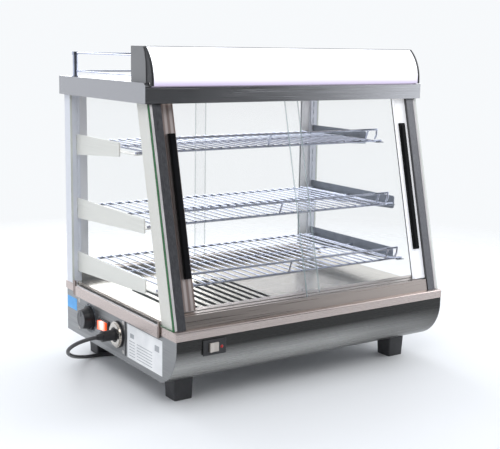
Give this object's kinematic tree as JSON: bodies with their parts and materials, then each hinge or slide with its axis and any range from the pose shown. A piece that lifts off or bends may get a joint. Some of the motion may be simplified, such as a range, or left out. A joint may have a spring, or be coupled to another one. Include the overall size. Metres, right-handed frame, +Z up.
{
  "type": "food holding cabinet",
  "caption": "Counter-top heated food display with slanted sliding glass front, sliding rear doors, wire shelves, a lit sign box and side controls.",
  "frame": {"origin": "on the counter, under the middle of the cabinet's outer box, cord left out", "axes": "+X to the right seen from the customer's side, +Y from the slanted front to the rear doors, +Z up"},
  "size_m": [0.781, 0.6415, 0.6852],
  "materials": {
    "base_steel": "brushed",
    "beige_rocker": "satin",
    "black_plastic": "fine grain",
    "bracket_steel": "satin",
    "cord_rubber": "matte",
    "deck_steel": "polished",
    "foot_plastic": "fine grain",
    "frame_grey": "satin",
    "gland_metal": "satin",
    "inner_steel": "plain",
    "knob_plastic": "satin",
    "lamp_glass": "frosted",
    "lit_rocker": "translucent",
    "pane": "clear",
    "roof_steel": "brushed",
    "sign_grey": "satin",
    "sign_panel": "opal",
    "sill_steel": "brushed",
    "standard_cream": "satin",
    "stile_aluminium": "ribbed satin",
    "track_aluminium": "satin",
    "wire_chrome": "polished"
  },
  "bodies": {
    "cabinet": {"base_bottom_plate": "base_steel", "base_front_panel": "base_steel", "base_rear_panel": "base_steel", "base_side_left": "base_steel", "base_side_right": "base_steel", "brackets_bottom": "bracket_steel", "brackets_middle": "bracket_steel", "brackets_top": "bracket_steel", "ceiling_panel": "roof_steel", "control_plate": "base_steel", "control_screws": "gland_metal", "cord_coil": "cord_rubber", "cord_gland": "gland_metal", "cord_tube": "cord_rubber", "deck_plate": "deck_steel", "feet": "foot_plastic", "front_post_left": "frame_grey", "front_post_right": "frame_grey", "front_switch_housing": "black_plastic", "front_track_bottom": "track_aluminium", "front_track_top": "track_aluminium", "gallery_rail": "wire_chrome", "glass_channels": "sill_steel", "heating_element": "inner_steel", "lamps": "lamp_glass", "plug": "black_plastic", "rear_post_left": "standard_cream", "rear_post_right": "standard_cream", "rear_track_bottom": "track_aluminium", "rear_track_top": "track_aluminium", "roof_cap": "roof_steel", "roof_frame": "inner_steel", "side_glass_left": "pane", "side_glass_right": "pane", "side_switch_housing": "black_plastic", "sign_diffuser": "sign_panel", "sign_end_caps": "black_plastic", "sign_end_plates": "sign_grey", "sign_housing": "sign_grey", "sill_front": "sill_steel", "sill_rear": "sill_steel", "strain_relief": "black_plastic", "terminal_block": "black_plastic", "thermostat": "inner_steel"},
    "front_door_left": {"front_door_left_glass": "pane", "front_door_left_stile": "stile_aluminium", "front_door_left_handle": "black_plastic"},
    "front_door_right": {"front_door_right_glass": "pane", "front_door_right_stile": "stile_aluminium", "front_door_right_handle": "black_plastic"},
    "rear_door_left": {"rear_door_left_glass": "pane", "rear_door_left_stile": "stile_aluminium"},
    "rear_door_right": {"rear_door_right_glass": "pane", "rear_door_right_stile": "stile_aluminium"},
    "shelf_top": {"shelf_top": "wire_chrome"},
    "shelf_middle": {"shelf_middle": "wire_chrome"},
    "shelf_bottom": {"shelf_bottom": "wire_chrome"},
    "thermostat_knob": {"thermostat_knob": "knob_plastic"},
    "side_switch_rocker": {"side_switch_rocker": "lit_rocker"},
    "front_switch_rocker": {"front_switch_rocker": "beige_rocker"}
  },
  "joints": [
    {"name": "front_door_left_slide", "type": "slide", "parent": "cabinet", "child": "front_door_left", "axis": [1, 0, 0], "range_m": [0, 0.27]},
    {"name": "front_door_right_slide", "type": "slide", "parent": "cabinet", "child": "front_door_right", "axis": [1, 0, 0], "range_m": [-0.28, 0]},
    {"name": "rear_door_left_slide", "type": "slide", "parent": "cabinet", "child": "rear_door_left", "axis": [1, 0, 0], "range_m": [0, 0.28]},
    {"name": "rear_door_right_slide", "type": "slide", "parent": "cabinet", "child": "rear_door_right", "axis": [1, 0, 0], "range_m": [-0.28, 0]},
    {"name": "shelf_top_slide", "type": "slide", "parent": "cabinet", "child": "shelf_top", "axis": [0, 0, 1], "range_m": [0, 0.04]},
    {"name": "shelf_middle_slide", "type": "slide", "parent": "cabinet", "child": "shelf_middle", "axis": [0, 0, 1], "range_m": [0, 0.04]},
    {"name": "shelf_bottom_slide", "type": "slide", "parent": "cabinet", "child": "shelf_bottom", "axis": [0, 0, 1], "range_m": [0, 0.04]},
    {"name": "thermostat_turn", "type": "hinge", "parent": "cabinet", "child": "thermostat_knob", "pos_m": [-0.33215, 0.12, 0.104], "axis": [-1, 0, 0], "range_deg": [0, 270]},
    {"name": "side_switch_tip", "type": "hinge", "parent": "cabinet", "child": "side_switch_rocker", "pos_m": [-0.32785, 0.05, 0.104], "axis": [0, 0, 1], "range_deg": [-12, 0]},
    {"name": "front_switch_tip", "type": "hinge", "parent": "cabinet", "child": "front_switch_rocker", "pos_m": [-0.25005, -0.2465, 0.125], "axis": [0, 0, 1], "range_deg": [-12, 0]}
  ]
}
